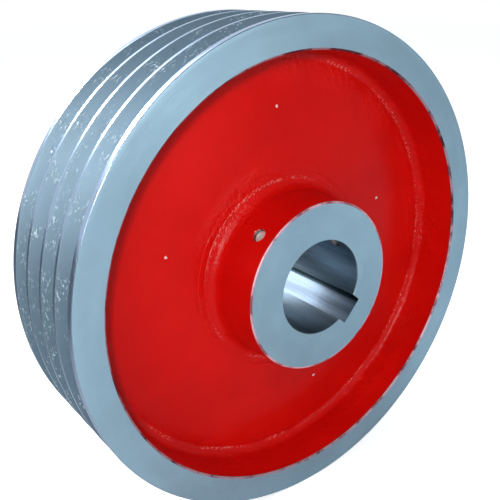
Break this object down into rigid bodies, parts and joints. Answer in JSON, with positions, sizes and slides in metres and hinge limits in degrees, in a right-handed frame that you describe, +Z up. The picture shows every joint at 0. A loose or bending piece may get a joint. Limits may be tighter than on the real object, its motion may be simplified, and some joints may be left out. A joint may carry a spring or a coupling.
{
  "type": "v belt pulley",
  "caption": "Cast-iron V-belt pulley with a grooved rim, a red painted solid web, and a keyed bore held on its shaft by radial set screws.",
  "frame": {"origin": "on the bore's axis, midway between the hub's front face and the rear faces", "axes": "the pulley spins about Y; the hub's proud front face is towards -Y; +Z is up as it stands on its rim"},
  "size_m": [0.307, 0.092, 0.307],
  "materials": {
    "machined_iron": "turned, satin",
    "red_enamel": "gloss",
    "screw_steel": "satin"
  },
  "bodies": {
    "pulley": {"rim_barrel": "machined_iron", "front_flange": "machined_iron", "groove_rib_1": "machined_iron", "groove_rib_2": "machined_iron", "groove_rib_3": "machined_iron", "rear_flange": "machined_iron", "web_disc": "red_enamel", "hub": "red_enamel"},
    "set_screw_1": {"set_screw_1": "screw_steel"},
    "set_screw_2": {"set_screw_2": "screw_steel"}
  },
  "joints": [
    {"name": "set_screw_1_travel", "type": "slide", "parent": "pulley", "child": "set_screw_1", "axis": [-0.6947, 0, 0.7193], "range_m": [-0.006, 0.018]},
    {"name": "set_screw_2_travel", "type": "slide", "parent": "pulley", "child": "set_screw_2", "axis": [0.7193, 0, 0.6947], "range_m": [-0.006, 0.018]}
  ]
}
